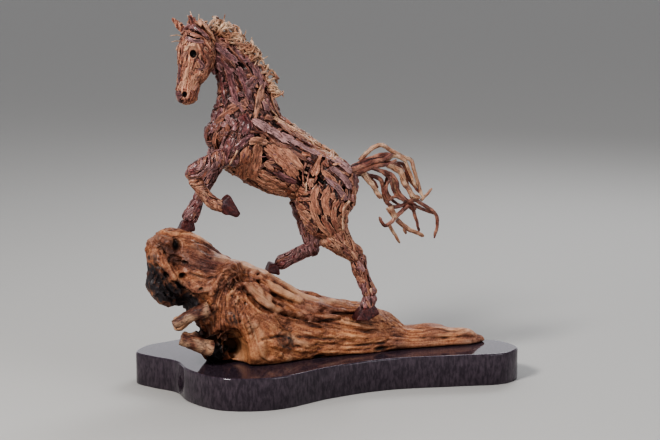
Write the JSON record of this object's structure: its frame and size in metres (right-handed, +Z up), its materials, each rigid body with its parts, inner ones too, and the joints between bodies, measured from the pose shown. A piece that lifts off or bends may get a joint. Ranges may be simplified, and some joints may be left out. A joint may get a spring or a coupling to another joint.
{
  "type": "driftwood horse sculpture",
  "caption": "Prancing horse built up from pieces of driftwood, standing on a large weathered tree root on a freeform polished black stone plinth; a sculpture that stands by its own weight.",
  "frame": {"origin": "middle of the plinth's underside", "axes": "+X along the plinth, from the horse's head to its tail; +Y away from the viewer; +Z up"},
  "size_m": [0.6821, 0.362, 0.6568],
  "materials": {
    "plinth_stone": "polished",
    "root_wood": "matte",
    "tan_wood": "matte",
    "pale_wood": "matte",
    "umber_wood": "matte",
    "plum_wood": "matte",
    "hoof_wood": "satin"
  },
  "bodies": {
    "root": {"plinth": "plinth_stone", "root_base": "root_wood", "left_shoulder": "plum_wood", "right_shoulder": "plum_wood", "left_haunch": "tan_wood", "right_haunch": "plum_wood", "breast_burl": "plum_wood", "withers_ridge": "umber_wood", "saddle_slab": "pale_wood", "croup_burl": "plum_wood", "rump_block": "umber_wood", "girth_slab": "tan_wood", "belly_slab": "tan_wood", "left_elbow_slab": "umber_wood", "right_elbow_slab": "umber_wood", "left_upper_rib_slab": "umber_wood", "right_upper_rib_slab": "umber_wood", "left_lower_rib_slab": "tan_wood", "right_lower_rib_slab": "tan_wood", "left_flank_slab": "tan_wood", "right_flank_slab": "tan_wood", "head_burl": "tan_wood", "throat_root": "plum_wood", "crest_root": "umber_wood", "left_neck_root": "pale_wood", "right_neck_root": "pale_wood", "left_poll_root": "plum_wood", "right_poll_root": "plum_wood", "left_ear": "umber_wood", "right_ear": "tan_wood", "left_forearm": "plum_wood", "left_fore_cannon": "tan_wood", "left_fore_hoof": "hoof_wood", "right_forearm": "plum_wood", "right_fore_cannon": "plum_wood", "right_fore_hoof": "hoof_wood", "left_gaskin": "tan_wood", "left_hind_cannon": "umber_wood", "left_hind_pastern": "plum_wood", "left_hind_hoof": "hoof_wood", "right_gaskin": "plum_wood", "right_hind_cannon": "plum_wood", "right_hind_hoof": "hoof_wood", "tail_dock": "umber_wood", "tail_crown_root": "pale_wood", "tail_inner_root": "umber_wood", "tail_pale_root": "pale_wood", "tail_long_root": "umber_wood", "tail_under_root": "umber_wood", "tail_hooked_root": "umber_wood", "tail_end_root": "umber_wood", "tail_curl_root": "umber_wood", "tail_low_root": "umber_wood", "tail_spur_root": "umber_wood", "mane_poll_tuft": "pale_wood", "mane_upper_tuft": "pale_wood", "mane_middle_tuft": "pale_wood", "mane_lower_tuft": "pale_wood", "mane_lock": "pale_wood"}
  },
  "joints": []
}
